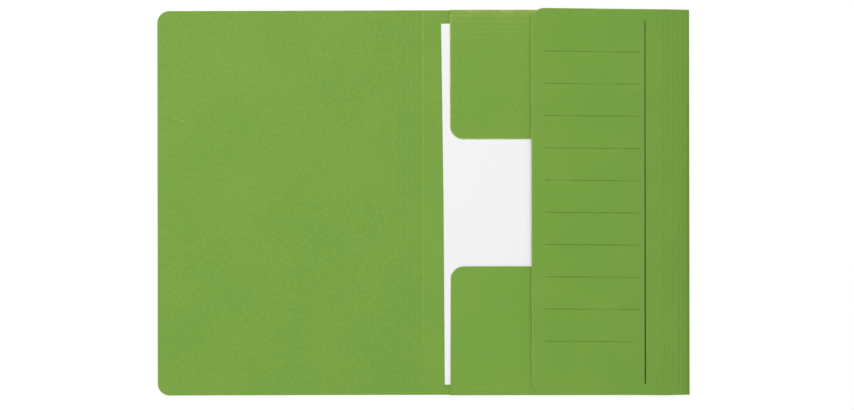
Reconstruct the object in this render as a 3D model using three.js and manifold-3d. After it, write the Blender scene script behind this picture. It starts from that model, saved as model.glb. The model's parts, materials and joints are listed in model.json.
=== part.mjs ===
// A three-flap folder of coloured pressboard, lying open on its back, with loose sheets held under
// its three flaps. The board is pressed with six parallel creases along the spine and along each flap,
// so that the folder can swell with what it holds. Two creases of each six are folded: at the spine
// and the side the first and the last, which makes the five strips between them a gusset, and at the
// top and bottom the first two, which makes a narrow edge strip. Every folded crease is a hinge on
// the crown of the bead that the creasing rule presses up on the inner face.
//
// Frame: millimetres, +X to the right across the open folder, +Y up the page, +Z up. The origin lies
// on the table under the middle of the spine crease.

import * as THREE from 'three';
import * as BufferGeometryUtils from 'three/addons/utils/BufferGeometryUtils.js';
import Module from 'manifold-3d';

const wasm = await Module();
wasm.setup();

// Board
const boardThickness = 0.4;
const beadHeight = 0.15; // how far a creasing rule pushes the board up
const beadHalfWidth = 0.9;
const beadSteps = 6; // flats round the crown of a bead
const cornerSteps = 10; // flats round a rounded corner

// Loose sheets, folio size, fanned about the middle of their left edge
const sheetWidth = 210;
const sheetHeight = 330;
const sheetThickness = 0.1;
const sheetAir = 0.02;
const sheetCount = 12;
const sheetLift = 0.2; // air between the back panel and the lowest sheet, which clears the beads
const sheetDrop = 1.5; // how far the sheets have slipped down the page
const fanLeast = 0.25; // degrees
const fanMost = 0.85;
const fanStride = 5; // the order in which the turns are shared out among the sheets

// Room that the folder leaves round the sheets
const spineMargin = 18.6; // spine crease to the sheets
const sideMargin = 14.6; // sheets to the side fold
const endMargin = 11; // sheets to the top and bottom folds

// Closed folder
const panelWidth = spineMargin + sheetWidth + sideMargin;
const panelHeight = sheetHeight + 2 * endMargin;
const coverCornerRadius = 11;

// Creases, the same on the spine and on every flap
const creasePitch = 4.75;
const stripCount = 5;

// Side flap, laid out flat from its fold to its free edge
const sideFlapLength = 145.5;
const sideCornerRadius = 10;

// Top and bottom flaps, laid out flat
const endFlapLength = 118.5;
const endFlapInset = 24.6; // from the spine crease to the flap's near edge
const endFlapSideInset = 25; // from the side fold to the flap's far edge, at its own fold
const endCornerRadius = 12;
const openingShare = 0.91; // distance from the side fold over distance from its own fold, at the tip

// How steeply the gusset or edge strip, and then the flap, rises inwards when folded in, in degrees
const sideTilts = [9.5, 1.2];
const endTilts = [34, -0.5];

const board = { color: 0x7ca548, roughness: 0.85, metalness: 0 };
const boardShade = { color: 0x77a044, roughness: 0.85, metalness: 0 };
const paper = { color: 0xf2f3f4, roughness: 0.75, metalness: 0 };

// The hinge line of a crease is the crown of its bead, at this height over the outer face.
const hingeHeight = boardThickness + beadHeight;
const gussetWidth = stripCount * creasePitch;

function toSolid(geometry) {
  const plain = geometry.index ? geometry.toNonIndexed() : geometry.clone();
  plain.deleteAttribute('normal');
  plain.deleteAttribute('uv');
  const merged = BufferGeometryUtils.mergeVertices(plain, 1e-5);
  return new wasm.Manifold(new wasm.Mesh({
    numProp: 3,
    vertProperties: new Float32Array(merged.attributes.position.array),
    triVerts: new Uint32Array(merged.index.array),
  }));
}

function toGeometry(solid) {
  const { vertProperties, triVerts } = solid.getMesh();
  const geometry = new THREE.BufferGeometry();
  geometry.setAttribute('position', new THREE.BufferAttribute(vertProperties, 3));
  geometry.setIndex(new THREE.BufferAttribute(triVerts, 1));
  geometry.computeVertexNormals();
  return geometry;
}

// A closed outline through the corners, each rounded by its own radius with an arc that meets both
// edges. The corners run anticlockwise.
function roundedOutline(corners) {
  const shape = new THREE.Shape();
  corners.forEach(({ x, y, radius = 0 }, i) => {
    const here = new THREE.Vector2(x, y);
    const goTo = i === 0 ? 'moveTo' : 'lineTo';
    if (radius === 0) {
      shape[goTo](x, y);
      return;
    }
    const before = corners.at(i - 1);
    const after = corners[(i + 1) % corners.length];
    const back = new THREE.Vector2(before.x - x, before.y - y).normalize();
    const ahead = new THREE.Vector2(after.x - x, after.y - y).normalize();
    const halfAngle = Math.acos(back.dot(ahead)) / 2;
    const bisector = back.clone().add(ahead).normalize();
    const centre = here.clone().addScaledVector(bisector, radius / Math.sin(halfAngle));
    const setback = radius / Math.tan(halfAngle);
    const from = here.clone().addScaledVector(back, setback).sub(centre);
    const to = here.clone().addScaledVector(ahead, setback).sub(centre);
    shape[goTo](centre.x + from.x, centre.y + from.y);
    shape.absarc(centre.x, centre.y, radius, from.angle(), to.angle(), false);
  });
  return shape;
}

function rectangle(x0, x1, y0, y1) {
  return roundedOutline([{ x: x0, y: y0 }, { x: x1, y: y0 }, { x: x1, y: y1 }, { x: x0, y: y1 }]);
}

// A slab of the outline between two heights.
function slab(shape, z0, z1) {
  const geometry = new THREE.ExtrudeGeometry(shape, {
    depth: z1 - z0,
    bevelEnabled: false,
    curveSegments: cornerSteps,
  });
  return toSolid(geometry.translate(0, 0, z0));
}

// The low round-topped ridge that a creasing rule leaves, along a line from one point to another.
function beadRidge(from, to, baseZ) {
  const radius = (beadHalfWidth ** 2 + beadHeight ** 2) / (2 * beadHeight);
  const spread = Math.asin(beadHalfWidth / radius);
  const section = new THREE.Shape();
  section.absarc(0, beadHeight - radius, radius, Math.PI / 2 - spread, Math.PI / 2 + spread, false);
  const run = new THREE.Vector2().subVectors(to, from);
  const geometry = new THREE.ExtrudeGeometry(section, {
    depth: run.length(),
    bevelEnabled: false,
    curveSegments: beadSteps,
  });
  // The section stands in XY and is drawn along +Z: stand it up, then turn it along the run.
  geometry.rotateX(Math.PI / 2);
  geometry.rotateZ(run.angle() + Math.PI / 2);
  geometry.translate(from.x, from.y, baseZ);
  return toSolid(geometry);
}

// A flat piece of board with beads along the given lines: raised on the inner face, hollow on the
// outer one. The outer face lies at outerZ.
function creasedBoard(outline, beads, outerZ) {
  const innerZ = outerZ + boardThickness;
  let solid = slab(outline, outerZ, innerZ);
  for (const [from, to] of beads) {
    solid = solid.add(beadRidge(from, to, innerZ));
    solid = solid.subtract(beadRidge(from, to, outerZ));
  }
  // Beads end flush with the outline.
  return toGeometry(solid.intersect(slab(outline, outerZ - beadHeight, innerZ + beadHeight)));
}

function named(name, geometry, finish) {
  const mesh = new THREE.Mesh(geometry, new THREE.MeshStandardMaterial(finish));
  mesh.name = name;
  return mesh;
}

// A leaf of the folder, hinged on the local Y axis and running along +X, with a crease at each given
// distance from its hinge line. The beads start past the leaf's ends, and its outline trims them.
function creasedLeaf(name, outline, foldLength, creases, finish) {
  const half = foldLength / 2 + beadHalfWidth;
  const beads = creases.map((x) => [new THREE.Vector2(x, -half), new THREE.Vector2(x, half)]);
  return named(name, creasedBoard(outline, beads, -hingeHeight), finish);
}

// Crease distances from a hinge line: the given number of creases, one pitch apart.
function creaseLines(count) {
  return Array.from({ length: count }, (_, i) => i * creasePitch);
}

// The five strips between the first and last crease of the spine or side, as one leaf.
function gusset(name) {
  const half = panelHeight / 2;
  const outline = rectangle(0, gussetWidth, -half, half);
  return creasedLeaf(name, outline, panelHeight, creaseLines(stripCount + 1), boardShade);
}

// Turns the rises of the leaves into the fold at each crease: the first one carries the turn over.
function foldsFromTilts(tilts) {
  return tilts.map((tilt, i) => (i === 0 ? 180 : tilts[i - 1]) - tilt);
}

// A narrow leaf and the wide one after it, nested, each folded over the contents by the given degrees
// at its own crease. Direction is where the row points when it is laid out flat.
function foldedRow([narrow, wide], narrowWidth, folds, edge, direction) {
  const first = new THREE.Group();
  first.position.set(edge.x, edge.y, hingeHeight);
  first.rotation.order = 'ZYX';
  first.rotation.set(0, -THREE.MathUtils.degToRad(folds[0]), direction);
  const second = new THREE.Group();
  second.position.x = narrowWidth;
  second.rotation.y = -THREE.MathUtils.degToRad(folds[1]);
  first.add(narrow, second);
  second.add(wide);
  return first;
}

function backPanel() {
  const half = panelHeight / 2;
  const corner = (x, y) => new THREE.Vector2(x, y);
  const beads = [
    [corner(0, -half), corner(0, half)],
    [corner(panelWidth, -half), corner(panelWidth, half)],
    [corner(endFlapInset, half), corner(panelWidth - endFlapSideInset, half)],
    [corner(endFlapInset, -half), corner(panelWidth - endFlapSideInset, -half)],
  ];
  return named('back_panel', creasedBoard(rectangle(0, panelWidth, -half, half), beads, 0), board);
}

// A cover or side flap: as high as the back panel, with both free corners rounded.
function fullHeightLeaf(name, reach, cornerRadius) {
  const half = panelHeight / 2;
  const outline = roundedOutline([
    { x: 0, y: -half },
    { x: reach, y: -half, radius: cornerRadius },
    { x: reach, y: half, radius: cornerRadius },
    { x: 0, y: half },
  ]);
  return creasedLeaf(name, outline, panelHeight, creaseLines(1), board);
}

// The cover lies open and flat. It reaches as far as the outside of the folded side edge.
function coverRow() {
  const foldNose = boardThickness * Math.sin(THREE.MathUtils.degToRad(sideTilts[0]));
  const reach = panelWidth + foldNose - gussetWidth;
  const leaves = [gusset('spine_gusset'), fullHeightLeaf('front_cover', reach, coverCornerRadius)];
  return foldedRow(leaves, gussetWidth, [0, 0], { x: 0, y: 0 }, Math.PI);
}

function sideFlapRow() {
  const reach = sideFlapLength - gussetWidth;
  const leaves = [gusset('side_gusset'), fullHeightLeaf('side_flap', reach, sideCornerRadius)];
  return foldedRow(leaves, gussetWidth, foldsFromTilts(sideTilts), { x: panelWidth, y: 0 }, 0);
}

// A top or bottom flap, with four unfolded creases near its fold. Its edge towards the spine is
// square to the fold. Its far edge is mitred, because it lies under the side flap and swings up with
// it, so that no point of it may rise sooner than the side flap above it. End is +1 at the top and -1
// at the bottom.
function endFlapRow(prefix, end) {
  const foldLength = panelWidth - endFlapInset - endFlapSideInset;
  const half = foldLength / 2;
  const strip = rectangle(0, creasePitch, -half, half);
  const reach = endFlapLength - creasePitch;
  const mitre = openingShare * endFlapLength - endFlapSideInset;
  const far = -end; // the side fold lies on this side, seen along the laid out flap
  const corners = [
    { x: 0, y: far * half },
    { x: 0, y: -far * half },
    { x: reach, y: -far * half, radius: endCornerRadius },
    { x: reach, y: far * (half - mitre), radius: endCornerRadius },
  ];
  const flap = roundedOutline(far < 0 ? corners.reverse() : corners);
  const leaves = [
    creasedLeaf(`${prefix}_strip`, strip, foldLength, creaseLines(2), boardShade),
    creasedLeaf(`${prefix}_flap`, flap, foldLength, creaseLines(stripCount), board),
  ];
  const edge = { x: endFlapInset + half, y: (end * panelHeight) / 2 };
  return foldedRow(leaves, creasePitch, foldsFromTilts(endTilts), edge, (end * Math.PI) / 2);
}

function looseSheets() {
  const stack = new THREE.Group();
  for (let i = 0; i < sheetCount; i += 1) {
    const outline = rectangle(0, sheetWidth, -sheetHeight / 2, sheetHeight / 2);
    const geometry = new THREE.ExtrudeGeometry(outline, { depth: sheetThickness, bevelEnabled: false });
    const sheet = named(`sheet_${String(i + 1).padStart(2, '0')}`, geometry, paper);
    const share = ((i * fanStride) % sheetCount) / (sheetCount - 1);
    sheet.rotation.z = THREE.MathUtils.degToRad(fanLeast + share * (fanMost - fanLeast));
    sheet.position.set(spineMargin, -sheetDrop, i * (sheetThickness + sheetAir));
    stack.add(sheet);
  }
  stack.position.z = boardThickness + sheetLift;
  return stack;
}

const folder = new THREE.Group();
folder.add(backPanel());
folder.add(coverRow());
folder.add(sideFlapRow());
folder.add(endFlapRow('top', 1));
folder.add(endFlapRow('bottom', -1));
folder.add(looseSheets());

export default folder;
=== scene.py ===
"""A three-flap folder of coloured pressboard, open on its back, with loose sheets under its flaps.

Every leaf of the folder starts as a flat blank: its outline is cut, ruled where it bends, given its
thickness, pressed with creases and then folded into place. A fold or crease between two leaves is a
piece of its own. Sizes are millimetres until a mesh is finished.
"""

import json
import logging
import math
from collections.abc import Callable, Sequence
from dataclasses import dataclass, field, replace
from enum import Enum
from functools import cached_property

import bmesh
import bpy
from mathutils import Matrix, Vector, noise

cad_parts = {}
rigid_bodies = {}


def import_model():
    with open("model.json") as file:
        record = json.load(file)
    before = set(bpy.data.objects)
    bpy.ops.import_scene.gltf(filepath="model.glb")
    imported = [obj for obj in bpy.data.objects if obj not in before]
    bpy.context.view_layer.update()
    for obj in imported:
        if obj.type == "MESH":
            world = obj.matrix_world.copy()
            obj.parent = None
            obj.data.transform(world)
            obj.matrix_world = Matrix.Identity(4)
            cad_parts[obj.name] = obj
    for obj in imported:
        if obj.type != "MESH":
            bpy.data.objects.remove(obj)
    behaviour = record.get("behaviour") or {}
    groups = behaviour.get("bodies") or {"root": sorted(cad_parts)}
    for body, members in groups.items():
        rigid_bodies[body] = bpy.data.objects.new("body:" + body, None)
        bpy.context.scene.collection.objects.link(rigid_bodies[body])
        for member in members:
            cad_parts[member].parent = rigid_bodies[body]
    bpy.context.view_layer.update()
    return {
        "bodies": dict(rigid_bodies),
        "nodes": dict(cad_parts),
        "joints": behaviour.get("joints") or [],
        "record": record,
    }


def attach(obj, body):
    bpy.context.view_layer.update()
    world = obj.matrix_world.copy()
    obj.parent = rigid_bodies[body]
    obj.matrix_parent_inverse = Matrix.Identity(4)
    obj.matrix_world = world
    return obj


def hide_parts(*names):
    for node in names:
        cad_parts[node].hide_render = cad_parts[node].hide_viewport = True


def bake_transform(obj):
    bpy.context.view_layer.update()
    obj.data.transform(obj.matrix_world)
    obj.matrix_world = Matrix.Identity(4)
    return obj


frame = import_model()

LOG = logging.getLogger("folder")
MM = 0.001
WHITE = (1.0, 1.0, 1.0, 1.0)

# A distance past every edge, the gap that a cut closes, and how near counts as touching.
ENDLESS = 1000.0
CUT_GAP = 1e-5
TOUCHING = 1e-3

# The digits that tell two ruled lines apart, and how little a cut side faces up or down.
DIGITS = 4
STEEP = 0.5

# Where a mix node has its colour inputs and output. Sockets of other kinds bear the same names.
COLOUR_A, COLOUR_B, MIXED_COLOUR = 6, 7, 2

Colour = tuple[int, int, int]
Socket = bpy.types.NodeSocket


def linear(colour: Colour) -> tuple[float, float, float, float]:
    """Turns a display colour into the light that it stands for.

    Args:
        colour: Red, green and blue, 0 to 255.

    Returns:
        Linear red, green, blue and a full alpha.
    """
    toe, slope, lift, power = 0.04045, 12.92, 0.055, 2.4
    shares = [part / 255 for part in colour]
    lit = [s / slope if s <= toe else ((s + lift) / (1 + lift)) ** power for s in shares]
    return lit[0], lit[1], lit[2], 1.0


def show(name: str, data: bpy.types.ID) -> bpy.types.Object:
    """Puts a mesh, lamp or camera in the scene.

    Args:
        name: What it is called there.
        data: The mesh, lamp or camera.

    Returns:
        Its object, at the origin.
    """
    shown = bpy.data.objects.new(name, data)
    bpy.context.scene.collection.objects.link(shown)
    return shown


# Stock


@dataclass(frozen=True)
class Board:
    """The stock that every leaf is cut from, and the creasing that all folds share."""

    thickness: float = 0.4
    hinge: float = 0.55
    bead_height: float = 0.09
    bead_half_width: float = 0.9
    bead_lines: int = 4
    lip_at: float = 0.5
    pitch: float = 4.75
    strips: int = 5
    panel_width: float = 243.2
    panel_height: float = 352.0
    end_inset: float = 24.6
    end_side_inset: float = 25.0
    rim_round: float = 0.07
    overrun: float = 3.0
    soft: float = 0.3
    slit: float = 0.01
    mesh_step: float = 8.0
    mesh_least: float = 1.2

    @property
    def gusset(self) -> float:
        """Width of the strips between the first and last crease."""
        return self.strips * self.pitch

    def bead(self, distance: float) -> float:
        """Works out the round section of a bead.

        Args:
            distance: How far a point lies from the bead's crown.

        Returns:
            The share of the bead's height that the point has.
        """
        if abs(distance) >= self.bead_half_width:
            return 0.0
        return math.cos(math.pi / 2 * distance / self.bead_half_width) ** 2

    def lip(self, distance: float) -> float:
        """Returns the share of its wear that the far lip of a groove has at a distance from the groove."""
        share = max(0.0, distance / self.lip_at)
        return share * math.exp(1 - share)

    def fan(self, crown: float) -> list[float]:
        """Lays out the lines that a bead needs to look round.

        Args:
            crown: Where the bead lies.

        Returns:
            Where the lines lie: across the bead's width, and one more on each side.
        """
        step = self.bead_half_width / self.bead_lines
        lines = [crown + step * i for i in range(-self.bead_lines, self.bead_lines + 1)]
        return [crown - 2 * self.bead_half_width, *lines, crown + 2 * self.bead_half_width]


# Finishes


@dataclass(frozen=True)
class Grain:
    """A noise pattern in millimetres, and the step from low to high that makes a share of it."""

    size: float
    detail: float = 2.0
    rough: float = 0.5
    warp: float = 0.0
    offset: tuple[float, float, float] = (0.0, 0.0, 0.0)
    low: float = 0.0
    high: float = 1.0
    least: float = 0.0
    most: float = 1.0


@dataclass(frozen=True)
class Tooth:
    """The fine relief of a matt surface, in metres, and its roughness between its fibres and on them."""

    depth: float
    strength: float
    coarse: float
    shine: float
    roughness: tuple[float, float]
    fibre_range: tuple[float, float] = (0.2, 0.8)


class Graph:
    """The node tree of a material or a world, filled by short calls."""

    def __init__(self, owner: bpy.types.Material | bpy.types.World) -> None:
        """Empties the tree of a new material or world.

        Args:
            owner: The material or world.
        """
        self.owner = owner
        owner.use_nodes = True
        self.tree = owner.node_tree
        self.tree.nodes.clear()

    def add(self, kind: str, inputs: dict[str | int, object], **settings: object) -> bpy.types.Node:
        """Adds a node.

        Args:
            kind: Blender's name for the node.
            inputs: For each input, a value, or the socket that it reads.
            settings: The node's own properties.

        Returns:
            The node.
        """
        node = self.tree.nodes.new(kind)
        for key, value in settings.items():
            setattr(node, key, value)
        for key, value in inputs.items():
            if isinstance(value, bpy.types.NodeSocket):
                self.tree.links.new(value, node.inputs[key])
            else:
                node.inputs[key].default_value = value
        return node

    def math(self, operation: str, *values: float | Socket) -> Socket:
        """Returns the result of one sum, with its operands in order."""
        return self.add("ShaderNodeMath", dict(enumerate(values)), operation=operation).outputs[0]

    @cached_property
    def blank(self) -> Socket:
        """Coordinates on the flat blank, in millimetres."""
        return self.add("ShaderNodeAttribute", {}, attribute_name="blank").outputs["Vector"]

    @cached_property
    def wear(self) -> Socket:
        """How worn the mesh is, from 0 to 1."""
        return self.add("ShaderNodeAttribute", {}, attribute_name="wear").outputs["Fac"]

    @cached_property
    def axes(self) -> Sequence[Socket]:
        """Each of the three coordinates on the flat blank."""
        return self.add("ShaderNodeSeparateXYZ", {"Vector": self.blank}).outputs

    def ramp(self, value: Socket, low: float, high: float, top: float = 1.0, base: float = 0.0) -> Socket:
        """Returns a smooth step from base, at low, to top, at high. Low may be the larger one."""
        inputs = {"Value": value, "From Min": low, "From Max": high, "To Min": base, "To Max": top}
        return self.add("ShaderNodeMapRange", inputs, interpolation_type="SMOOTHSTEP").outputs[0]

    def grain(self, grain: Grain, at: Socket | None = None) -> Socket:
        """Adds a noise pattern.

        Args:
            grain: Its size and kind.
            at: The coordinates that it reads, if not those on the blank.

        Returns:
            The pattern, from 0 to 1.
        """
        at = at or self.blank
        if any(grain.offset):
            at = self.add("ShaderNodeMapping", {"Vector": at, "Location": grain.offset}).outputs[0]
        inputs = {"Vector": at, "Scale": 1 / grain.size, "Detail": grain.detail}
        inputs |= {"Roughness": grain.rough, "Distortion": grain.warp}
        return self.add("ShaderNodeTexNoise", inputs).outputs["Fac"]

    def step(self, pattern: Socket, grain: Grain, scale: float = 1.0) -> Socket:
        """Returns the share that a grain makes of its own pattern, scaled."""
        return self.ramp(pattern, grain.low, grain.high, scale * grain.most, scale * grain.least)

    def share(self, grain: Grain, scale: float = 1.0, at: Socket | None = None) -> Socket:
        """Returns a new noise pattern as a share, scaled."""
        return self.step(self.grain(grain, at), grain, scale)

    def mix(self, share: float | Socket, under: object, over: object) -> Socket:
        """Returns the colour under, covered by the colour over to the given share."""
        inputs = {0: share, COLOUR_A: under, COLOUR_B: over}
        return self.add("ShaderNodeMix", inputs, data_type="RGBA").outputs[MIXED_COLOUR]

    def matt(self, colour: Socket, coarse: Socket, fine: Socket, tooth: Tooth) -> bpy.types.Material:
        """Ends a material as a matt surface.

        Args:
            colour: Its colour.
            coarse: The pattern of its coarse relief.
            fine: The pattern of its fibres.
            tooth: How deep the relief is, and how the surface shines.

        Returns:
            The material.
        """
        relief = self.math("ADD", self.math("MULTIPLY", coarse, tooth.coarse), fine)
        bump = {"Height": relief, "Distance": tooth.depth, "Strength": tooth.strength}
        normal = self.add("ShaderNodeBump", bump).outputs[0]
        between, on_fibre = tooth.roughness
        surface = {"Base Color": colour, "Normal": normal, "Specular IOR Level": tooth.shine}
        surface["Roughness"] = self.ramp(fine, *tooth.fibre_range, on_fibre, between)
        return self.finish(self.add("ShaderNodeBsdfPrincipled", surface).outputs[0])

    def finish(
        self, shader: Socket, output: str = "ShaderNodeOutputMaterial"
    ) -> bpy.types.Material | bpy.types.World:
        """Joins the shader to the output and returns the material or world."""
        self.add(output, {"Surface": shader})
        return self.owner


@dataclass(frozen=True)
class Ruling:
    """The printed ruling on the outside of the side flap, measured from its fold and its middle."""

    near: float = 46.2
    far: float = 132.9
    first: float = 136.8
    pitch: float = 29.36
    count: int = 10
    width: float = 0.95
    strength: float = 0.42
    spread: float = 4.0
    uneven: Grain = Grain(34.0, detail=1, low=0.3, high=0.55, least=0.3)
    streak: Grain = Grain(3.5, low=0.25, high=0.7, least=0.8)
    margin_at: float = 41.3
    margin_half: float = 165.6
    margin_width: float = 1.33
    margin_strengths: tuple[float, float] = (0.68, 1.0)
    bleed: float = 0.22
    outer_skin: float = 0.2
    ink: Colour = (40, 52, 32)

    def cover(self, graph: Graph, board: Board) -> Socket:
        """Adds the nodes for the printed lines.

        Args:
            graph: The material's nodes.
            board: The stock, which says where the side fold lies.

        Returns:
            How much ink covers the board, from 0 to 1.
        """
        x, y, depth = graph.axes
        reach = graph.math("SUBTRACT", x, board.panel_width)
        printed = graph.math("MAXIMUM", self.rows(graph, reach, y), self.margin(graph, reach, y))
        outside = graph.math("LESS_THAN", depth, self.outer_skin)
        return graph.math("MULTIPLY", printed, outside)

    def rows(self, graph: Graph, reach: Socket, y: Socket) -> Socket:
        """Adds the nodes for the writing lines, each printed a little unevenly.

        Args:
            graph: The material's nodes.
            reach: How far a point lies from the side fold.
            y: How far it lies above the middle of the page.

        Returns:
            How much ink covers the board.
        """
        row = graph.math("DIVIDE", graph.math("SUBTRACT", self.first, y), self.pitch)
        nearest = graph.math("MINIMUM", self.count - 1, graph.math("ROUND", row))
        line = graph.math("MAXIMUM", 0.0, nearest)
        off = graph.math("ABSOLUTE", graph.math("SUBTRACT", row, line))
        stroke = self.stroke(graph, graph.math("MULTIPLY", off, self.pitch), self.width)
        apart = graph.math("MULTIPLY", line, self.spread * self.pitch)
        along = graph.add("ShaderNodeCombineXYZ", {"X": reach, "Y": apart}).outputs[0]
        uneven = graph.share(self.uneven, self.strength, along)
        streaked = graph.math("MULTIPLY", uneven, graph.share(self.streak, at=along))
        rows = graph.math("MULTIPLY", stroke, streaked)
        rows = graph.math("MULTIPLY", rows, self.stop(graph, reach, self.near, 1))
        return graph.math("MULTIPLY", rows, self.stop(graph, reach, self.far, -1))

    def margin(self, graph: Graph, reach: Socket, y: Socket) -> Socket:
        """Adds the nodes for the long margin line, which is darker towards its foot.

        Args:
            graph: The material's nodes.
            reach: How far a point lies from the side fold.
            y: How far it lies above the middle of the page.

        Returns:
            How much ink covers the board.
        """
        aside = graph.math("ABSOLUTE", graph.math("SUBTRACT", reach, self.margin_at))
        ends = self.stop(graph, graph.math("ABSOLUTE", y), self.margin_half, -1)
        line = graph.math("MULTIPLY", self.stroke(graph, aside, self.margin_width), ends)
        light, deep = self.margin_strengths
        return graph.math("MULTIPLY", line, graph.ramp(y, self.margin_half, -self.margin_half, deep, light))

    def stroke(self, graph: Graph, distance: Socket, width: float) -> Socket:
        """Returns the cover of one line at a distance from its middle, with soft sides."""
        return graph.ramp(distance, width / 2 + self.bleed, width / 2 - self.bleed)

    def stop(self, graph: Graph, distance: Socket, end: float, side: int) -> Socket:
        """Returns 1 on one side of the end of a line and 0 on the other, with a soft step."""
        return graph.ramp(distance, end - side * 2 * self.bleed, end + side * 2 * self.bleed)


@dataclass(frozen=True)
class Flecks:
    """Pale, ragged flecks: only a few of the cells of a grid hold one."""

    spacing: float = 3.6
    rarity: float = 0.86
    torn: Grain = Grain(0.9, detail=1)
    torn_depth: float = 0.5
    edge: tuple[float, float] = (0.5, 0.25)
    strength: float = 0.45

    def cover(self, graph: Graph, scale: float) -> Socket:
        """Adds the nodes for the flecks.

        Args:
            graph: The material's nodes.
            scale: How strongly the flecks show.

        Returns:
            How much they cover the board.
        """
        cells = graph.add("ShaderNodeTexVoronoi", {"Vector": graph.blank, "Scale": 1 / self.spacing}).outputs
        chosen, strength, _ = graph.add("ShaderNodeSeparateColor", {"Color": cells["Color"]}).outputs
        ragged = graph.math("MULTIPLY_ADD", graph.grain(self.torn), self.torn_depth, cells["Distance"])
        spot = graph.math("MULTIPLY", graph.ramp(ragged, *self.edge, self.strength * scale), strength)
        return graph.math("MULTIPLY", spot, graph.math("GREATER_THAN", chosen, self.rarity))


@dataclass(frozen=True)
class Hairs:
    """The few dark curled fibres in the board, along the middle of a warped pattern."""

    curl: Grain = Grain(4.5, detail=1, rough=0.4, warp=1.5, offset=(0, 13, 0))
    middle: float = 0.5
    edge: tuple[float, float] = (0.012, 0.002)
    spots: Grain = Grain(6.0, detail=1, offset=(77, 0, 0), low=0.62, high=0.7, most=0.35)

    def cover(self, graph: Graph) -> Socket:
        """Adds the nodes for the hairs.

        Args:
            graph: The material's nodes.

        Returns:
            How much they cover the board.
        """
        off = graph.math("SUBTRACT", graph.grain(self.curl), self.middle)
        thin = graph.ramp(graph.math("ABSOLUTE", off), *self.edge)
        return graph.math("MULTIPLY", thin, graph.share(self.spots))


@dataclass(frozen=True)
class PaintedShade:
    """Painted shade towards the side fold, where the real board rolls and slopes away from the light.

    Each of its two steps starts and ends at a distance from the fold, and has a full strength.
    """

    close: tuple[float, float, float] = (4.5, 1.5, 0.2)
    wide: tuple[float, float, float] = (20.0, 0.0, 0.13)
    at_head: float = 0.35

    def cover(self, graph: Graph, board: Board) -> Socket:
        """Adds the nodes for the painted shade.

        Args:
            graph: The material's nodes.
            board: The stock, which says where the side fold lies.

        Returns:
            How strong the painted shade is, which is least at the head of the page.
        """
        x, y, _ = graph.axes
        away = graph.math("SUBTRACT", x, board.panel_width)
        both = graph.math("ADD", graph.ramp(away, *self.close), graph.ramp(away, *self.wide))
        return graph.math("MULTIPLY", both, graph.ramp(y, board.panel_height / 2, 0.0, 1.0, self.at_head))


@dataclass(frozen=True)
class Pressboard:
    """Dyed board of recycled fibre: mottled, flecked with paler fibre and rubbed pale at its edges, with
    painted shade towards the side fold where asked.
    """

    dye: Colour = (108, 157, 57)
    pale: Colour = (140, 169, 66)
    worn: Colour = (176, 187, 90)
    # The colour of the dark fibres, and also of the painted shade towards the side fold.
    dark: Colour = (92, 112, 46)
    fleck_share: float = 1.0
    fibre_share: float = 1.0
    at_head: float = 1.0
    cloud: Grain = Grain(70.0, low=0.3, high=0.75, most=0.16)
    mottle: Grain = Grain(3.2, detail=3, rough=0.6, low=0.3, high=0.8, most=0.3)
    fibre: Grain = Grain(
        0.7, detail=3, rough=0.65, warp=0.8, offset=(31, 7, 3), low=0.35, high=0.75, most=0.17
    )
    rub: Grain = Grain(
        2.4, detail=3, rough=0.7, offset=(5, 90, 0), low=0.3, high=0.62, least=0.25, most=0.95
    )
    patches: Grain = Grain(14.0, rough=0.6, offset=(60, 20, 0), low=0.32, high=0.66, least=0.5, most=1.5)
    flecks: Flecks = Flecks()
    hairs: Hairs = Hairs()
    tooth: Tooth = Tooth(depth=0.00003, strength=0.5, coarse=0.8, shine=0.3, roughness=(0.66, 0.8))
    shade: PaintedShade | None = None
    ruling: Ruling | None = None
    board: Board = Board()

    def material(self, name: str) -> bpy.types.Material:
        """Makes the material.

        Args:
            name: What the material is called.

        Returns:
            The material, which reads the blank and wear attributes of a mesh.
        """
        graph = Graph(bpy.data.materials.new(name))
        mottle = graph.share(self.mottle, self.fleck_share)
        fibre = graph.grain(self.fibre)
        clouded = graph.math("ADD", graph.share(self.cloud), mottle)
        colour = graph.mix(clouded, linear(self.dye), linear(self.pale))
        strands = graph.step(fibre, self.fibre, self.fibre_share)
        up_page = self.up_page(graph)
        for cover in (strands, self.flecks.cover(graph, self.fleck_share)):
            colour = graph.mix(graph.math("MULTIPLY", cover, up_page), colour, linear(self.worn))
        colour = graph.mix(self.hairs.cover(graph), colour, linear(self.dark))
        rubbed = graph.wear
        for grain in (self.rub, self.patches):
            rubbed = graph.math("MULTIPLY", rubbed, graph.share(grain))
        colour = graph.mix(rubbed, colour, linear(self.worn))
        # Painted shade: the board darkens towards the side fold, where the real board turns away from the
        # light.
        if self.shade:
            colour = graph.mix(self.shade.cover(graph, self.board), colour, linear(self.dark))
        if self.ruling:
            colour = graph.mix(self.ruling.cover(graph, self.board), colour, linear(self.ruling.ink))
        return graph.matt(colour, mottle, fibre, self.tooth)

    def up_page(self, graph: Graph) -> Socket:
        """Returns how strongly fibres and flecks show: 1 at the foot, and at_head at the head."""
        half = self.board.panel_height / 2
        return graph.ramp(graph.axes[1], -half, half, self.at_head, 1.0)


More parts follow.
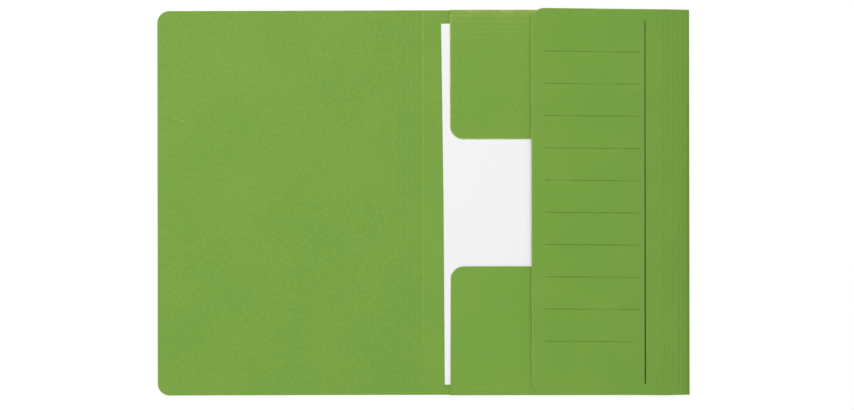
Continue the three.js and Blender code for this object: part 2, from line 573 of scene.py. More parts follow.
@dataclass(frozen=True)
class Paper:
    """Plain white writing paper with a faint formation."""

    white: Colour = (247, 247, 248)
    shade: Colour = (243, 243, 245)
    formation: Grain = Grain(2.6, detail=3, rough=0.6, low=0.3, high=0.8, most=0.3)
    fibre: Grain = Grain(0.25, rough=0.6, warp=0.5)
    tooth: Tooth = Tooth(depth=0.000012, strength=0.4, coarse=0.5, shine=0.35, roughness=(0.55, 0.66))

    def material(self, name: str) -> bpy.types.Material:
        """Makes the material.

        Args:
            name: What the material is called.

        Returns:
            The material, which reads the blank attribute of a mesh.
        """
        graph = Graph(bpy.data.materials.new(name))
        formation = graph.grain(self.formation)
        cover = graph.step(formation, self.formation)
        colour = graph.mix(cover, linear(self.white), linear(self.shade))
        return graph.matt(colour, formation, graph.grain(self.fibre), self.tooth)


# Leaves and folds


class Slot(Enum):
    """The record's material slots."""

    PRESSBOARD = "pressboard"
    PAPER = "paper"


@dataclass(frozen=True)
class Corner:
    """A corner of a flat outline: its distance from the fold, its place along it and its radius."""

    s: float
    t: float
    radius: float = 0.0


def band(low: float, high: float, half: float, radius: float = 0.0) -> list[Corner]:
    """Lays out an oblong.

    Args:
        low: Where it starts.
        high: Where it ends.
        half: Half its height.
        radius: The radius of the two corners at its end.

    Returns:
        Its corners, anticlockwise.
    """
    return [
        Corner(low, -half),
        Corner(high, -half, radius),
        Corner(high, half, radius),
        Corner(low, half),
    ]


@dataclass(frozen=True)
class Crease:
    """A line pressed into a leaf, along its fold or square to it.

    Wear reaches the crown of the bead on the inner face, and one lip of the groove on the outer face.
    Relief is how high its bead stands against the board's own.
    """

    at: float
    wear: float = 0.0
    lip_wear: float = 0.0
    relief: float = 1.0
    square: bool = False
    span: tuple[float, float] = (-ENDLESS, ENDLESS)

    def share(self, board: Board, s: float, t: float) -> float:
        """Works out the bead at a point.

        Args:
            board: The stock.
            s: The point's distance from the leaf's fold.
            t: Its place along the fold.

        Returns:
            The share of the bead's height that the point has.
        """
        across, along = (t, s) if self.square else (s, t)
        ends = min(along - self.span[0], self.span[1] - along)
        return board.bead(across - self.at) * min(1.0, max(0.0, ends / board.bead_half_width))

    def worn(self, board: Board, s: float, share: float, outer: bool) -> float:
        """Returns the wear that the crease brings to a point of either face."""
        return self.lip_wear * board.lip(s - self.at) if outer else self.wear * share**3


class Shape:
    """A bmesh with the blank and wear attributes, which ends as an object of the scene."""

    def __init__(self) -> None:
        """Starts an empty mesh."""
        self.mesh = bmesh.new()
        self.blank = self.mesh.verts.layers.float_vector.new("blank")
        self.wear = self.mesh.verts.layers.float.new("wear")

    def all(self) -> list:
        """Returns every vertex, edge and face."""
        return self.mesh.verts[:] + self.mesh.edges[:] + self.mesh.faces[:]

    def bevel(self, parts: list, width: float, steps: int, affect: str) -> None:
        """Rounds vertices or edges.

        Args:
            parts: The vertices or edges.
            width: How far the rounding reaches from them.
            steps: How many segments it has.
            affect: Which of the two they are, in Blender's words.
        """
        bmesh.ops.bevel(
            self.mesh,
            geom=parts,
            offset=width,
            offset_type="OFFSET",
            segments=steps,
            profile=0.5,
            affect=affect,
            material=-1,
        )

    def outline(self, corners: Sequence[Corner], steps: int = 12) -> None:
        """Starts the mesh as one flat face.

        Args:
            corners: Its corners, anticlockwise.
            steps: How many edges round a corner off.
        """
        points = [self.mesh.verts.new((c.s, c.t, 0)) for c in corners]
        self.mesh.faces.new(points)
        for i, corner in enumerate(corners):
            if corner.radius == 0:
                continue
            here = Vector((corner.s, corner.t))
            before, after = corners[i - 1], corners[(i + 1) % len(corners)]
            back, ahead = Vector((before.s, before.t)) - here, Vector((after.s, after.t)) - here
            setback = corner.radius / math.tan(back.angle(ahead) / 2)
            self.bevel([points[i]], setback, steps, "VERTICES")

    def cut(self, at: Vector, direction: Vector, drop: bool = False) -> None:
        """Cuts through the mesh with a plane.

        Args:
            at: A point of the plane.
            direction: The way that the plane faces.
            drop: Whether what lies beyond the plane is dropped.
        """
        bmesh.ops.bisect_plane(
            self.mesh,
            geom=self.all(),
            dist=CUT_GAP,
            plane_co=at,
            plane_no=direction,
            clear_outer=drop,
        )

    def rule(self, places: Sequence[float], axis: int) -> None:
        """Cuts lines across the mesh.

        Args:
            places: Where the lines lie along the axis.
            axis: 0 for X and 1 for Y.
        """
        direction = Vector((0, 0, 0))
        direction[axis] = 1
        for at in sorted(set(round(p, DIGITS) for p in places)):
            self.cut(direction * at, direction)

    def thicken(self, height: float) -> None:
        """Draws the flat mesh up to a slab.

        Args:
            height: The slab's thickness.
        """
        raised = bmesh.ops.extrude_face_region(self.mesh, geom=self.mesh.faces[:])["geom"]
        top = [part for part in raised if isinstance(part, bmesh.types.BMVert)]
        bmesh.ops.translate(self.mesh, vec=(0, 0, height), verts=top)
        bmesh.ops.recalc_face_normals(self.mesh, faces=self.mesh.faces[:])

    def finish(self, name: str, material: bpy.types.Material, sharp: float = 40.0) -> bpy.types.Object:
        """Ends the mesh and puts it in the scene.

        Args:
            name: The piece's name.
            material: Its finish.
            sharp: Edges that turn more than this many degrees stay crisp.

        Returns:
            The object, at the origin.
        """
        limit = math.radians(sharp)
        for face in self.mesh.faces:
            face.smooth = True
        for edge in self.mesh.edges:
            edge.smooth = len(edge.link_faces) == 2 and edge.calc_face_angle(0.0) < limit
        bmesh.ops.scale(self.mesh, vec=(MM, MM, MM), verts=self.mesh.verts[:])
        data = bpy.data.meshes.new(name)
        self.mesh.to_mesh(data)
        self.mesh.free()
        data.materials.append(material)
        LOG.info("%s: %d faces", name, len(data.polygons))
        return show(name, data)


@dataclass
class Leaf:
    """One flat leaf of the folder, from its fold outwards.

    Its own frame has the fold's hinge line as Y and runs out along X, with the outer face below.
    Wear is given for the head of the page and grows less towards its foot.
    """

    name: str
    corners: list[Corner]
    frame: Matrix
    on_blank: Matrix
    creases: list[Crease] = field(default_factory=list)
    trim: tuple[float, float] = (-ENDLESS, ENDLESS)
    rim: float = 0.9
    rim_wear: float = 0.3
    rim_steps: int = 2
    fold_wear: float = 0.0
    fold_wear_reach: float = 4.5
    foot_wear: float = 0.6
    lean: float = 0.0
    sag: Callable[[float, float], float] | None = None
    board: Board = Board()

    def build(self, material: bpy.types.Material) -> bpy.types.Object:
        """Makes the leaf.

        Args:
            material: Its finish.

        Returns:
            The finished piece, folded into place.
        """
        shape = Shape()
        shape.outline(self.corners)
        self.ring(shape)
        self.rule(shape)
        shape.thicken(self.board.thickness)
        shape.bevel(self.cut_edges(shape), self.board.rim_round, self.rim_steps, "EDGES")
        self.press(shape)
        return shape.finish(self.name, material)

    def ring(self, shape: Shape) -> None:
        """Marks a narrow band along the cut edge, which wear has reached.

        Args:
            shape: The leaf as one flat face.
        """
        bmesh.ops.inset_region(
            shape.mesh,
            faces=shape.mesh.faces[:],
            thickness=self.rim,
            use_even_offset=True,
            use_boundary=True,
        )
        for vert in shape.mesh.verts:
            vert[shape.wear] = self.rim_wear if vert.is_boundary else 0.0

    def rule(self, shape: Shape) -> None:
        """Cuts the lines that the leaf bends along, and trims it at its folds.

        Args:
            shape: The flat leaf.
        """
        across, along = [], []
        for crease in self.creases:
            (along if crease.square else across).extend(self.board.fan(crease.at))
        s_ends = [corner.s for corner in self.corners]
        t_ends = [corner.t for corner in self.corners]
        across += self.even(min(s_ends), max(s_ends), across)
        along += self.even(min(t_ends), max(t_ends), along)
        shape.rule(across, 0)
        shape.rule(along, 1)
        for end, side in zip(self.trim, (-1, 1)):
            shape.cut(Vector((end, 0, 0)), Vector((side, 0, 0)), drop=True)

    def even(self, low: float, high: float, taken: Sequence[float]) -> list[float]:
        """Spreads lines evenly between two ends.

        Args:
            low: One end.
            high: The other.
            taken: Places that the lines keep clear of.

        Returns:
            Where the lines lie.
        """
        count = max(1, round((high - low) / self.board.mesh_step))
        places = [low + (high - low) * i / count for i in range(1, count)]
        return [p for p in places if all(abs(p - q) > self.board.mesh_least for q in taken)]

    def cut_edges(self, shape: Shape) -> list:
        """Finds the edges between the faces of the board and its cut sides, but not those at its folds.

        Args:
            shape: The leaf as a slab.

        Returns:
            The edges.
        """
        found = []
        for edge in shape.mesh.edges:
            if any(min(abs(v.co.x - end) for end in self.trim) < TOUCHING for v in edge.verts):
                continue
            steep = [abs(face.normal.z) < STEEP for face in edge.link_faces]
            if len(steep) == 2 and steep[0] != steep[1]:
                found.append(edge)
        return found

    def press(self, shape: Shape) -> None:
        """Presses the creases in, lets the leaf sag, and folds it into place.

        Args:
            shape: The leaf as a slab.
        """
        board = self.board
        for vert in shape.mesh.verts:
            s, t, h = vert.co
            blank = self.on_blank @ vert.co
            outer = h < board.thickness / 2
            rise, worn = 0.0, vert[shape.wear]
            for crease in self.creases:
                share = crease.share(board, s, t)
                rise = max(rise, share * crease.relief)
                worn = max(worn, crease.worn(board, s, share, outer))
            rubbed = self.fold_wear * math.exp(-max(s, 0) / self.fold_wear_reach)
            worn += rubbed * (max(0.0, 1 - rise) if outer else 1)
            up_page = blank.y / board.panel_height + 0.5
            vert[shape.wear] = min(1.0, worn) * (self.foot_wear + (1 - self.foot_wear) * up_page)
            vert[shape.blank] = blank
            sag = self.sag(s, t) if self.sag else 0.0
            up = h - board.hinge + rise * board.bead_height + sag
            vert.co = self.frame @ Vector((s, t + self.lean * s, up))


@dataclass
class Fold:
    """The rounded back of a fold, which fills the gap that opens between two folded leaves."""

    name: str
    frame: Matrix
    on_blank: Matrix
    turn: float
    ends: tuple[float, float]
    wear: float = 0.0
    nose: float = 1.0
    steps: int = 14
    core: float = 0.02
    board: Board = Board()

    def build(self, material: bpy.types.Material) -> bpy.types.Object:
        """Makes the fold.

        Args:
            material: Its finish.

        Returns:
            The finished piece at rest.
        """
        shape = Shape()
        self.sweep(shape)
        for vert in shape.mesh.verts:
            around = math.atan2(vert.co.x, -vert.co.z)
            depth = self.board.hinge - math.hypot(vert.co.x, vert.co.z)
            out = (around - self.turn / 2) * self.board.hinge
            vert[shape.blank] = self.on_blank @ Vector((out, vert.co.y, depth))
            vert[shape.wear] = self.wear
            pinch = 1 - (1 - self.nose) * math.sin(math.pi * around / self.turn)
            vert.co = self.frame @ Vector((vert.co.x * pinch, vert.co.y, vert.co.z * pinch))
        return shape.finish(self.name, material)

    def sweep(self, shape: Shape) -> None:
        """Spins the board's section about the hinge line.

        Args:
            shape: The empty mesh.
        """
        hinge = self.board.hinge
        low, high = self.ends
        section = [(low, -self.core), (low, -hinge), (high, -hinge), (high, -self.core)]
        shape.mesh.faces.new([shape.mesh.verts.new((0, t, z)) for t, z in section])
        count = round((high - low) / self.board.mesh_step)
        shape.rule([low + (high - low) * i / count for i in range(1, count)], 1)
        bmesh.ops.spin(
            shape.mesh,
            geom=shape.all(),
            cent=(0, 0, 0),
            axis=(0, 1, 0),
            angle=-self.turn,
            steps=self.steps,
            use_merge=False,
            use_duplicate=False,
        )
        bmesh.ops.recalc_face_normals(shape.mesh, faces=shape.mesh.faces[:])

    def span(self) -> tuple[Vector, Vector]:
        """Works out what the fold joins.

        Returns:
            Where its outer face starts and ends, in metres.
        """
        start = Vector((0, 0, -self.board.hinge))
        end = Matrix.Rotation(-self.turn, 3, "Y") @ start
        return (self.frame @ start) * MM, (self.frame @ end) * MM


@dataclass
class Row:
    """A narrow leaf and the wide one after it, folded from one edge of the back panel.

    Tilts are the angles at which the two leaves lie over the panel. One that is laid flat has 180 degrees.
    """

    edge: Vector
    heading: float
    narrow_width: float
    tilts: tuple[float, float] = (180.0, 180.0)
    board: Board = Board()

    @property
    def turns(self) -> tuple[float, float]:
        """How far each fold is turned, in radians."""
        return math.radians(180 - self.tilts[0]), math.radians(self.tilts[0] - self.tilts[1])

    def frames(self) -> tuple[Matrix, Matrix, Matrix, Matrix]:
        """Works out where the row lies.

        Returns:
            The frames of the edge before its fold, the narrow leaf, its end before the second fold, and
            the wide leaf.
        """
        start = Matrix.Translation((self.edge.x, self.edge.y, self.board.hinge))
        start @= Matrix.Rotation(self.heading, 4, "Z")
        first = start @ Matrix.Rotation(-self.turns[0], 4, "Y")
        end = first @ Matrix.Translation((self.narrow_width, 0, 0))
        return start, first, end, end @ Matrix.Rotation(-self.turns[1], 4, "Y")

    def bend(
        self, index: int, name: str, material: bpy.types.Material, bodies: tuple[str, str], **shape: object
    ) -> None:
        """Makes one of the row's folds.

        Args:
            index: 0 for the fold before the narrow leaf, 1 for the one after it.
            name: The piece's name.
            material: Its finish.
            bodies: The bodies on its two sides.
            shape: The fold's own fields.
        """
        frame, on_blank = self.frames()[2 * index], self.on_blank(index * self.narrow_width)
        fold = Fold(name, frame, on_blank, self.turns[index], **shape)
        span_joint(fold.build(material), bodies, *fold.span())

    def on_blank(self, from_edge: float = 0.0) -> Matrix:
        """Works out the way from a leaf's frame to the flat blank.

        Args:
            from_edge: How far the leaf's fold lies from the panel's edge.

        Returns:
            The transform.
        """
        edge = Matrix.Translation((self.edge.x, self.edge.y, 0))
        edge @= Matrix.Rotation(self.heading, 4, "Z")
        return edge @ Matrix.Translation((from_edge, 0, 0))


def place(piece: bpy.types.Object, body: str, node: str) -> None:
    """Puts a rigid piece on its body.

    Args:
        piece: The finished piece.
        body: The body that it moves with.
        node: The solid that it stands for.
    """
    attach(piece, body)
    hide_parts(node)


def span_joint(piece: bpy.types.Object, bodies: tuple[str, str], start: Vector, end: Vector) -> None:
    """Bakes a fold's place into its mesh; the two bodies, and where it leaves and meets them in metres, are
    not used.
    """
    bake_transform(piece)


# Parts of the folder


@dataclass
class BackPanel:
    """The panel that lies on the table. All rows of creases start from its edges."""

    finish: Pressboard
    spine_wear: float = 0.9
    foot_wear: float = 0.0
    board: Board = Board()

    def build(self) -> None:
        """Makes the panel."""
        board = self.board
        half, width = board.panel_height / 2, board.panel_width
        span = (board.end_inset, width - board.end_side_inset)
        ends = [Crease(at, square=True, span=span) for at in (half, -half)]
        leaf = Leaf(
            "back_panel_board",
            band(-board.overrun, width + board.overrun, half),
            Matrix.Translation((0, 0, board.hinge)),
            Matrix.Identity(4),
            [Crease(0, wear=self.spine_wear), Crease(width), *ends],
            trim=(board.soft, width - board.slit),
            foot_wear=self.foot_wear,
        )
        piece = leaf.build(self.finish.material("back panel board"))
        place(piece, "back_panel", "back_panel")


@dataclass
class CoverRow:
    """The spine's gusset and the front cover, opened flat to the left, with a soft crease before each."""

    finish: Pressboard
    cover_finish: Pressboard
    corner_radius: float = 11.0
    reach: float = 219.55
    lean: float = 0.0016
    score_wear: float = 0.12
    main_wear: float = 0.9
    foot_wear: float = 0.0
    rim_wear: float = 0.6
    relief: float = 1.7
    board: Board = Board()

    def build(self) -> None:
        """Makes both leaves and both creases."""
        board = self.board
        half, over, soft = board.panel_height / 2, board.overrun, board.soft
        row = Row(Vector((0, 0)), math.pi, board.gusset)
        _, first, _, second = row.frames()
        main, seam = Crease(0, self.main_wear), Crease(0, self.score_wear)
        lines = [i * board.pitch for i in range(1, board.strips)]
        inner = [Crease(at, self.score_wear, relief=self.relief) for at in lines]
        green = self.finish.material("spine board")
        gusset = Leaf(
            "spine_gusset_board",
            band(-over, board.gusset + over, half),
            first,
            row.on_blank(),
            [main, *inner, Crease(board.gusset, self.score_wear)],
            trim=(soft, board.gusset - soft),
            foot_wear=self.foot_wear,
        )
        place(gusset.build(green), "spine_gusset", "spine_gusset")
        on_blank = row.on_blank(board.gusset)
        cover = Leaf(
            "front_cover_board",
            band(-over, self.reach, half, self.corner_radius),
            second,
            on_blank,
            [seam],
            trim=(soft, ENDLESS),
            rim_wear=self.rim_wear,
            lean=self.lean,
        )
        piece = cover.build(self.cover_finish.material("cover board"))
        place(piece, "front_cover", "front_cover")
        bodies = ("back_panel", "spine_gusset", "front_cover")
        self.crease("spine_crease", first, row.on_blank(), main, green, bodies[:2])
        self.crease("cover_crease", second, on_blank, seam, green, bodies[1:])

    def crease(
        self,
        name: str,
        frame: Matrix,
        on_blank: Matrix,
        crease: Crease,
        material: bpy.types.Material,
        bodies: tuple[str, str],
    ) -> None:
        """Makes the soft middle of a crease that lies flat at rest.

        Args:
            name: The piece's name.
            frame: The crease's own frame.
            on_blank: The way to the flat blank.
            crease: How it is pressed.
            material: Its finish.
            bodies: The bodies on its two sides.
        """
        soft, over = self.board.soft, self.board.overrun
        leaf = Leaf(
            name,
            band(-over, over, self.board.panel_height / 2),
            frame,
            on_blank,
            [crease],
            trim=(-soft, soft),
            foot_wear=self.foot_wear,
        )
        piece = leaf.build(material)
        start, end = frame @ Vector((-soft, 0, 0)) * MM, frame @ Vector((soft, 0, 0)) * MM
        span_joint(piece, bodies, start, end)


@dataclass
class SideRow:
    """The side's gusset and the ruled side flap, folded in over the sheets."""

    finish: Pressboard
    flap_finish: Pressboard
    length: float = 145.0
    corner_radius: float = 12.0
    tilts: tuple[float, float] = (9.5, 1.2)
    lean: float = 0.0102
    sag_depth: float = 0.7
    sag_uneven: float = 0.25
    sag_grain: tuple[float, float, float] = (1.3, 1.9, 0.4)
    roll_rise: float = 0.3
    roll_reach: float = 1.5
    crease_wear: float = 0.12
    relief: float = 1.7
    seam_relief: float = 1.4
    rim_wear: float = 1.0
    nose: float = 0.36
    flap_fold_steps: int = 3
    board: Board = Board()

    def build(self) -> None:
        """Makes both leaves and both folds."""
        board = self.board
        half, over = board.panel_height / 2, board.overrun
        row = Row(Vector((board.panel_width, 0)), 0.0, board.gusset, self.tilts)
        _, first, _, second = row.frames()
        reach = self.length - board.gusset
        lines = [i * board.pitch for i in range(board.strips + 1)]
        green = self.finish.material("side board")
        gusset = Leaf(
            "side_gusset_board",
            band(-over, board.gusset + over, half),
            first,
            row.on_blank(),
            [Crease(at, self.crease_wear, relief=self.relief) for at in lines],
            trim=(board.slit, board.gusset - board.slit),
            rim_wear=self.rim_wear,
            sag=lambda s, t: -self.roll_rise * self.roll(s),
        )
        place(gusset.build(green), "side_gusset", "side_gusset")
        flap = Leaf(
            "side_flap_board",
            band(-over, reach, half, self.corner_radius),
            second,
            row.on_blank(board.gusset),
            [Crease(0, self.crease_wear, relief=self.seam_relief)],
            trim=(board.slit, ENDLESS),
            rim_wear=self.rim_wear,
            lean=self.lean,
            sag=lambda s, t: self.sag_depth * self.belly(s / reach, t / half),
        )
        piece = flap.build(self.flap_finish.material("ruled side board"))
        place(piece, "side_flap", "side_flap")
        ends, bodies = (-half, half), ("back_panel", "side_gusset", "side_flap")
        row.bend(0, "side_fold_back", green, bodies[:2], ends=ends, nose=self.nose)
        row.bend(1, "side_flap_fold", green, bodies[1:], ends=ends, steps=self.flap_fold_steps)

    def roll(self, out: float) -> float:
        """Returns the share of its rise that the rolled gusset has at a distance from its fold."""
        away = min(1.0, max(0.0, out / self.board.gusset))
        return (1 - math.exp(-max(0.0, out) / self.roll_reach)) * (1 - away)

    def belly(self, out: float, along: float) -> float:
        """Works out how unevenly the flap sags. It doesn't along its fold.

        Args:
            out: A point's distance from the fold, as a share of the flap's length.
            along: Its place along the fold, from -1 to 1.

        Returns:
            The share of the sag that the point has.
        """
        rise = math.sin(math.pi * min(1.0, max(0.0, out))) ** 2
        across, down, depth = self.sag_grain
        uneven = noise.noise(Vector((out * across, along * down, depth)))
        return rise * (1 - self.sag_uneven + self.sag_uneven * uneven)


@dataclass
class EndRow:
    """The edge strip and flap at the top or bottom, folded in under the side flap."""

    prefix: str
    end: int
    finish: Pressboard
    strip_finish: Pressboard
    crease_wear: float = 0.1
    lip_wear: float = 0.0
    lip_fade: float = 0.12
    rim: float = 0.9
    rim_wear: float = 0.4
    fold_wear: float = 0.0
    fold_wear_past: float = 3.0
    length: float = 118.5
    corner_radius: float = 12.0
    opening: float = 0.91
    tilts: tuple[float, float] = (34.0, -0.5)
    lean: float = 0.0
    score_pitch: float = 4.88
    score_shift: float = 0.5
    arch: float = 0.3
    nose: float = 0.36
    flap_fold_steps: int = 5
    board: Board = Board()

    def build(self) -> None:
        """Makes both leaves and both folds."""
        board, prefix = self.board, self.prefix
        half = (board.panel_width - board.end_inset - board.end_side_inset) / 2
        over, ends = board.overrun, (-half, half)
        edge = Vector((board.end_inset + half, self.end * board.panel_height / 2))
        row = Row(edge, self.end * math.pi / 2, board.pitch, self.tilts)
        _, first, _, second = row.frames()
        past = self.fold_wear / self.fold_wear_past
        flap_green = self.finish.material(f"{prefix} flap board")
        strip_green = self.strip_finish.material(f"{prefix} strip board")
        strip = Leaf(
            f"{prefix}_strip_board",
            band(-over, board.pitch + over, half),
            first,
            row.on_blank(),
            self.scores([0.0, board.pitch]),
            trim=(board.slit, board.pitch - board.slit),
            fold_wear=self.fold_wear,
            sag=lambda s, t: -self.arch * math.sin(math.pi * s / board.pitch),
        )
        place(strip.build(strip_green), f"{prefix}_strip", f"{prefix}_strip")
        lines = [i * self.score_pitch + self.score_shift for i in range(1, board.strips)]
        flap = Leaf(
            f"{prefix}_flap_board",
            self.flap_corners(self.length - board.pitch, half),
            second,
            row.on_blank(board.pitch),
            self.scores([0.0, *lines]),
            trim=(board.slit, ENDLESS),
            lean=self.lean,
            rim=self.rim,
            rim_wear=self.rim_wear,
            fold_wear=past,
        )
        place(flap.build(flap_green), f"{prefix}_flap", f"{prefix}_flap")
        bodies = ("back_panel", f"{prefix}_strip", f"{prefix}_flap")
        shape = {"ends": ends, "wear": self.fold_wear, "nose": self.nose}
        row.bend(0, f"{prefix}_fold_back", strip_green, bodies[:2], **shape)
        shape = {"ends": ends, "wear": past, "steps": self.flap_fold_steps}
        row.bend(1, f"{prefix}_flap_fold", strip_green, bodies[1:], **shape)

    def scores(self, places: list[float]) -> list[Crease]:
        """Returns the creases pressed at the given distances from a leaf's own fold."""
        wears = [self.lip_wear * (1 - self.lip_fade * i) for i in range(len(places))]
        return [Crease(at, self.crease_wear, lip) for at, lip in zip(places, wears)]

    def flap_corners(self, reach: float, half: float) -> list[Corner]:
        """Lays out the flap, square towards the spine and mitred towards the side fold.

        Args:
            reach: Length of the flap from its own hinge line.
            half: Half the length of its fold.

        Returns:
            Its corners, anticlockwise.
        """
        mitre = self.opening * self.length - self.board.end_side_inset
        over, far = self.board.overrun, -self.end
        back = mitre / reach * over
        corners = [
            Corner(-over, far * (half + back)),
            Corner(-over, -far * half),
            Corner(reach, -far * half, self.corner_radius),
            Corner(reach, far * (half - mitre), self.corner_radius),
        ]
        return corners[::-1] if far < 0 else corners


@dataclass
class SheetStack:
    """Loose folio sheets, fanned about the middle of their left edge, each with its own slight wave.

    The wave has a broad swell, and a curl at the left edge that ripples along it. Both grow up the stack.
    """

    finish: Paper
    width: float = 210.0
    height: float = 330.0
    thickness: float = 0.1
    air: float = 0.02
    count: int = 12
    lowest: float = 0.6
    left: float = 18.6
    drop: float = 1.5
    least: float = 0.3
    most: float = 0.72
    stride: int = 5
    step: float = 11.0
    grain_apart: float = 7.0
    swell_at: float = 115.0
    swell_reach: tuple[float, float] = (60.0, 45.0)
    swell_rise: float = 0.022
    curl_from: float = 26.0
    curl_reach: float = 12.0
    curl_rise: float = 0.02
    ripple_depth: float = 2.7

    def build(self) -> None:
        """Makes every sheet."""
        paper = self.finish.material("writing paper")
        for i in range(self.count):
            place(self.sheet(i, paper), "sheets", f"sheet_{i + 1:02d}")

    def sheet(self, index: int, material: bpy.types.Material) -> bpy.types.Object:
        """Makes one sheet.

        Args:
            index: Its place in the stack, from the bottom.
            material: Its finish.

        Returns:
            The finished piece.
        """
        shape = Shape()
        half = self.height / 2
        shape.outline(band(0, self.width, half))
        shape.rule([self.step * i for i in range(1, round(self.width / self.step))], 0)
        shape.rule([-half + self.step * i for i in range(1, round(self.height / self.step))], 1)
        shape.thicken(self.thickness)
        share = ((index * self.stride) % self.count) / (self.count - 1)
        turn = math.radians(self.least + share * (self.most - self.least))
        base = self.lowest + index * (self.thickness + self.air)
        frame = Matrix.Translation((self.left, -self.drop, base)) @ Matrix.Rotation(turn, 4, "Z")
        for vert in shape.mesh.verts:
            vert[shape.blank] = vert.co + Vector((0, 0, index * self.grain_apart))
            vert.co = frame @ vert.co
            vert.co.z += index * self.wave(vert.co.x, vert.co.y)
        return shape.finish(f"loose_sheet_{index + 1:02d}", material)

    def wave(self, x: float, y: float) -> float:
        """Works out how far each sheet rises over the one below, so no two sheets cross.

        Args:
            x: How far a point lies from the spine.
            y: How far it lies above the middle of the page.

        Returns:
            The rise at the point.
        """
        wide, high = self.swell_reach
        swell = math.exp(-(((x - self.swell_at) / wide) ** 2) - (y / high) ** 2)
        curl = max(0.0, (self.curl_from - x) / self.curl_reach) ** 2
        ripple = 0.5 + 0.5 * noise.noise(Vector((x / wide, y / high, self.ripple_depth)))
        return self.swell_rise * swell + self.curl_rise * curl * ripple


# Studio


@dataclass(frozen=True)
class Lamp:
    """A round soft lamp that faces the middle of the folder."""

    name: str
    at: tuple[float, float, float]
    size: float
    power: float

    def build(self) -> None:
        """Hangs the lamp."""
        data = bpy.data.lights.new(self.name, "AREA")
        data.shape = "DISK"
        data.size = self.size
        data.energy = self.power
        lamp = show(self.name, data)
        lamp.location = self.at
        lamp.rotation_euler = (-Vector(self.at)).to_track_quat("-Z", "Y").to_euler()
        lamp.visible_camera = False


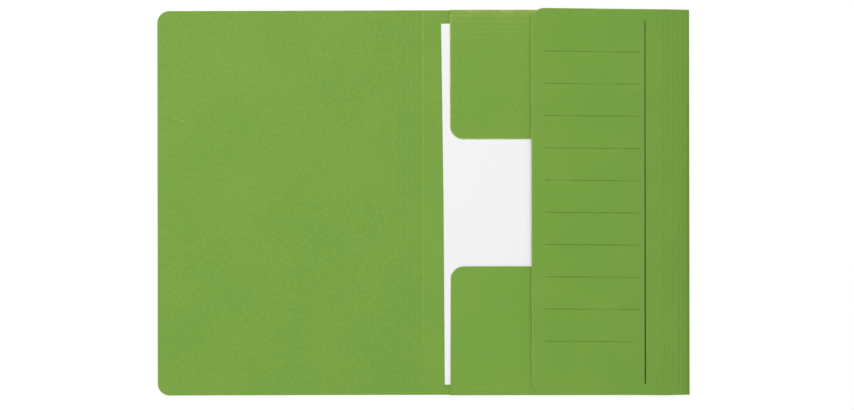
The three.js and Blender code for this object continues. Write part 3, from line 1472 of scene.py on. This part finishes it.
@dataclass
class Studio:
    """A white table under broad soft light, most of it from the upper left, and a camera above."""

    eye: tuple[float, float, float] = (0.0034, -0.0022, 1.2)
    roll: float = 0.0014
    lens: float = 55.25
    sensor: float = 36.0
    floor_size: float = 8.0
    floor_drop: float = 0.0002
    floor_paint: tuple[float, float, float, float] = (0.97, 0.97, 0.97, 1.0)
    floor_glow: float = 0.8
    glow_strength: float = 1.045
    sky: float = 0.2
    lamps: tuple[Lamp, ...] = (
        Lamp("side lamp", (-1.05, 0.55, 1.75), 1.4, 20.5),
        Lamp("top lamp", (0.1, 0.3, 2.1), 1.6, 14.5),
        Lamp("foot lamp", (0.2, -1.6, 0.9), 1.0, 6.5),
        Lamp("head lamp", (0.2, 1.6, 0.9), 1.0, 2.6),
    )

    def build(self) -> None:
        """Makes the camera, the light and the table."""
        self.camera()
        self.sky_light()
        for lamp in self.lamps:
            lamp.build()
        self.table()
        bpy.context.scene.view_settings.view_transform = "Standard"

    def camera(self) -> None:
        """Sets the camera above the folder, looking straight down."""
        data = bpy.data.cameras.new("camera")
        data.lens = self.lens
        data.sensor_width = self.sensor
        camera = show("camera", data)
        camera.location = self.eye
        camera.rotation_euler = (0, 0, -self.roll)
        bpy.context.scene.camera = camera

    def seen(self, graph: Graph) -> Socket:
        """Adds the nodes that tell what the camera sees from what only lights the scene.

        Args:
            graph: The nodes of the backdrop or the table.

        Returns:
            1 for what the camera sees, straight, mirrored or through glass, and 0 for the rest.
        """
        rays = graph.add("ShaderNodeLightPath", {}).outputs
        seen = graph.math("MAXIMUM", rays["Is Camera Ray"], rays["Is Glossy Ray"])
        return graph.math("MAXIMUM", seen, rays["Is Transmission Ray"])

    def sky_light(self) -> None:
        """Lights the scene evenly from all sides, with a plain white backdrop."""
        graph = Graph(bpy.data.worlds.new("studio"))
        level = graph.ramp(self.seen(graph), 0.0, 1.0, 1.0, self.sky)
        light = graph.add("ShaderNodeBackground", {"Color": WHITE, "Strength": level}).outputs[0]
        bpy.context.scene.world = graph.finish(light, "ShaderNodeOutputWorld")

    def table(self) -> None:
        """Lays the white table under the folder. It keeps part of the shadow and is otherwise white."""
        mesh = bmesh.new()
        bmesh.ops.create_grid(mesh, x_segments=1, y_segments=1, size=self.floor_size / 2)
        bmesh.ops.translate(mesh, vec=(0, 0, -self.floor_drop), verts=mesh.verts[:])
        data = bpy.data.meshes.new("table_top")
        mesh.to_mesh(data)
        mesh.free()
        graph = Graph(bpy.data.materials.new("white table"))
        matt = graph.add("ShaderNodeBsdfDiffuse", {"Color": self.floor_paint}).outputs[0]
        shine = {"Color": WHITE, "Strength": self.glow_strength}
        glow = graph.add("ShaderNodeEmission", shine).outputs[0]
        share = graph.math("MULTIPLY", self.seen(graph), self.floor_glow)
        both = graph.add("ShaderNodeMixShader", {0: share, 1: matt, 2: glow}).outputs[0]
        data.materials.append(graph.finish(both))
        show("table_top", data)


def main() -> None:
    """Builds the folder, its sheets and the studio."""
    logging.basicConfig(level=logging.INFO, format="%(message)s")
    green = Pressboard()
    spine = replace(green, dye=(106, 155, 57))
    cover = replace(spine, fleck_share=1.3, fibre_share=0.75, at_head=1.6)
    # A lighter copy of the board for the top strip and its folds: painted light that lifts the shade where
    # the strip slopes up from the panel's edge.
    edge = replace(green, dye=(114, 163, 59))
    quiet = replace(green, dye=(110, 159, 58), fleck_share=0.6, fibre_share=0.6)
    # A lighter copy for the bottom strip and its folds: painted light that lifts the shade where they slope
    # down and away from the light.
    rolled = replace(quiet, dye=(112, 165, 59))
    # The side gusset and side flap carry painted shade towards the side fold; on the flap it reaches far
    # towards its seam.
    side = replace(green, dye=(111, 156, 58), fleck_share=0.6, fibre_share=0.4, shade=PaintedShade())
    ruled = replace(side, dye=(110, 157, 57), shade=PaintedShade(wide=(100.0, 25.0, 0.07)), ruling=Ruling())
    top = EndRow(
        "top",
        1,
        green,
        edge,
        lip_wear=0.2,
        rim=1.4,
        rim_wear=1.0,
        fold_wear=0.8,
        length=118.9,
        score_shift=0.95,
        nose=0.2,
    )
    parts = [
        BackPanel(green),
        CoverRow(spine, cover),
        SideRow(side, ruled),
        top,
        # The bottom folds' wear is partly real pale wear and partly painted light that lifts the shade along
        # the bottom fold.
        EndRow("bottom", -1, quiet, rolled, fold_wear=0.35, lean=0.0036, arch=0.12, nose=0.1),
        SheetStack(Paper()),
        Studio(),
    ]
    for part in parts:
        part.build()
        LOG.info("built %s", type(part).__name__)
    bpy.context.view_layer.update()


if __name__ == "__main__":
    main()
